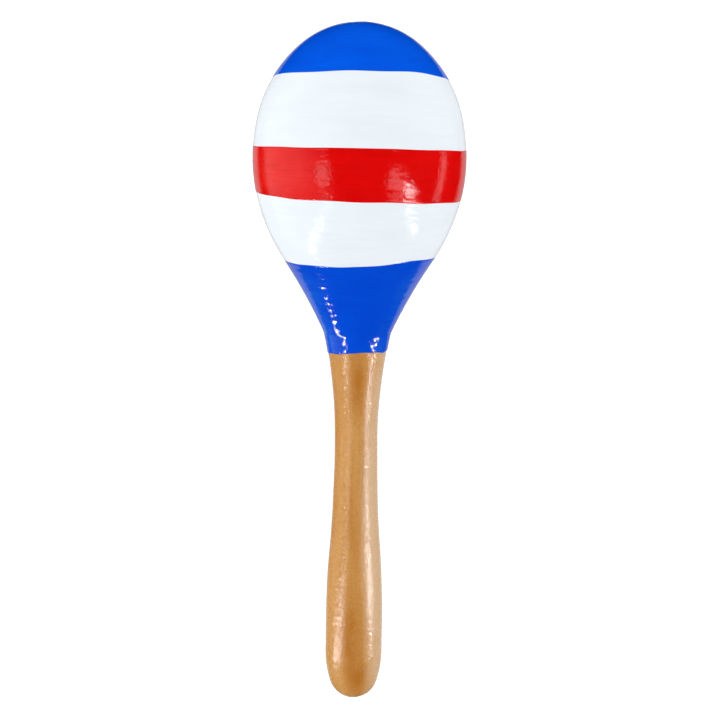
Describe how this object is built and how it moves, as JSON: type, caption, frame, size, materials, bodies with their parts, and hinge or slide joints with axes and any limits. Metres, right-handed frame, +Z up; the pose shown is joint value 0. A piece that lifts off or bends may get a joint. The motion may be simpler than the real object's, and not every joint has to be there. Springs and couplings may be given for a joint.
{
  "type": "maraca",
  "caption": "Turned wooden maraca with a painted egg-shaped rattle head, loose seeds sealed inside, and a plain varnished handle that swells at the butt.",
  "frame": {"origin": "on the table under the middle of the length of the maraca, which lies on its side", "axes": "+Z up, +Y from the butt towards the crown, +X to the right as seen from above with the crown ahead; the maraca's own axis rises from butt to head by 8.57 degrees in the YZ plane"},
  "size_m": [0.0732, 0.2378, 0.0738],
  "materials": {
    "head_wood": "bare turned wood under the paint and inside the chamber",
    "handle_wood": "clear glossy varnish over pale orange-brown hardwood",
    "seed_coat": "hard smooth dark seed coat",
    "paint_blue": "thick glossy blue enamel, brushed on",
    "paint_white": "thick glossy white enamel, brushed on",
    "paint_red": "thick glossy red enamel, brushed on"
  },
  "bodies": {
    "maraca": {"head_crown": "head_wood", "head_bowl": "head_wood", "handle": "handle_wood"},
    "seed_01": {"seed_01": "seed_coat"},
    "seed_02": {"seed_02": "seed_coat"},
    "seed_03": {"seed_03": "seed_coat"},
    "seed_04": {"seed_04": "seed_coat"},
    "seed_05": {"seed_05": "seed_coat"},
    "seed_06": {"seed_06": "seed_coat"},
    "seed_07": {"seed_07": "seed_coat"},
    "seed_08": {"seed_08": "seed_coat"},
    "seed_09": {"seed_09": "seed_coat"},
    "seed_10": {"seed_10": "seed_coat"},
    "seed_11": {"seed_11": "seed_coat"},
    "seed_12": {"seed_12": "seed_coat"},
    "seed_13": {"seed_13": "seed_coat"},
    "seed_14": {"seed_14": "seed_coat"},
    "seed_15": {"seed_15": "seed_coat"},
    "seed_16": {"seed_16": "seed_coat"},
    "seed_17": {"seed_17": "seed_coat"},
    "seed_18": {"seed_18": "seed_coat"},
    "seed_19": {"seed_19": "seed_coat"},
    "seed_20": {"seed_20": "seed_coat"},
    "seed_21": {"seed_21": "seed_coat"},
    "seed_22": {"seed_22": "seed_coat"},
    "seed_23": {"seed_23": "seed_coat"},
    "seed_24": {"seed_24": "seed_coat"}
  },
  "joints": [
    {"name": "seed_01_flight", "type": "slide", "parent": "maraca", "child": "seed_01", "axis": [0, -0.1491, 0.9888], "range_m": [0, 0.0584]},
    {"name": "seed_02_flight", "type": "slide", "parent": "maraca", "child": "seed_02", "axis": [0, -0.1491, 0.9888], "range_m": [0, 0.05616]},
    {"name": "seed_03_flight", "type": "slide", "parent": "maraca", "child": "seed_03", "axis": [0, -0.1491, 0.9888], "range_m": [0, 0.05866]},
    {"name": "seed_04_flight", "type": "slide", "parent": "maraca", "child": "seed_04", "axis": [0, -0.1491, 0.9888], "range_m": [0, 0.05592]},
    {"name": "seed_05_flight", "type": "slide", "parent": "maraca", "child": "seed_05", "axis": [0, -0.1491, 0.9888], "range_m": [0, 0.05469]},
    {"name": "seed_06_flight", "type": "slide", "parent": "maraca", "child": "seed_06", "axis": [0, -0.1491, 0.9888], "range_m": [0, 0.0592]},
    {"name": "seed_07_flight", "type": "slide", "parent": "maraca", "child": "seed_07", "axis": [0, -0.1491, 0.9888], "range_m": [0, 0.05319]},
    {"name": "seed_08_flight", "type": "slide", "parent": "maraca", "child": "seed_08", "axis": [0, -0.1491, 0.9888], "range_m": [0, 0.05566]},
    {"name": "seed_09_flight", "type": "slide", "parent": "maraca", "child": "seed_09", "axis": [0, -0.1491, 0.9888], "range_m": [0, 0.05545]},
    {"name": "seed_10_flight", "type": "slide", "parent": "maraca", "child": "seed_10", "axis": [0, -0.1491, 0.9888], "range_m": [0, 0.05161]},
    {"name": "seed_11_flight", "type": "slide", "parent": "maraca", "child": "seed_11", "axis": [0, -0.1491, 0.9888], "range_m": [0, 0.05877]},
    {"name": "seed_12_flight", "type": "slide", "parent": "maraca", "child": "seed_12", "axis": [0, -0.1491, 0.9888], "range_m": [0, 0.05063]},
    {"name": "seed_13_flight", "type": "slide", "parent": "maraca", "child": "seed_13", "axis": [0, -0.1491, 0.9888], "range_m": [0, 0.05073]},
    {"name": "seed_14_flight", "type": "slide", "parent": "maraca", "child": "seed_14", "axis": [0, -0.1491, 0.9888], "range_m": [0, 0.05709]},
    {"name": "seed_15_flight", "type": "slide", "parent": "maraca", "child": "seed_15", "axis": [0, -0.1491, 0.9888], "range_m": [0, 0.04935]},
    {"name": "seed_16_flight", "type": "slide", "parent": "maraca", "child": "seed_16", "axis": [0, -0.1491, 0.9888], "range_m": [0, 0.05491]},
    {"name": "seed_17_flight", "type": "slide", "parent": "maraca", "child": "seed_17", "axis": [0, -0.1491, 0.9888], "range_m": [0, 0.04962]},
    {"name": "seed_18_flight", "type": "slide", "parent": "maraca", "child": "seed_18", "axis": [0, -0.1491, 0.9888], "range_m": [0, 0.0471]},
    {"name": "seed_19_flight", "type": "slide", "parent": "maraca", "child": "seed_19", "axis": [0, -0.1491, 0.9888], "range_m": [0, 0.05833]},
    {"name": "seed_20_flight", "type": "slide", "parent": "maraca", "child": "seed_20", "axis": [0, -0.1491, 0.9888], "range_m": [0, 0.04611]},
    {"name": "seed_21_flight", "type": "slide", "parent": "maraca", "child": "seed_21", "axis": [0, -0.1491, 0.9888], "range_m": [0, 0.04803]},
    {"name": "seed_22_flight", "type": "slide", "parent": "maraca", "child": "seed_22", "axis": [0, -0.1491, 0.9888], "range_m": [0, 0.05203]},
    {"name": "seed_23_flight", "type": "slide", "parent": "maraca", "child": "seed_23", "axis": [0, -0.1491, 0.9888], "range_m": [0, 0.04565]},
    {"name": "seed_24_flight", "type": "slide", "parent": "maraca", "child": "seed_24", "axis": [0, -0.1491, 0.9888], "range_m": [0, 0.05558]}
  ]
}
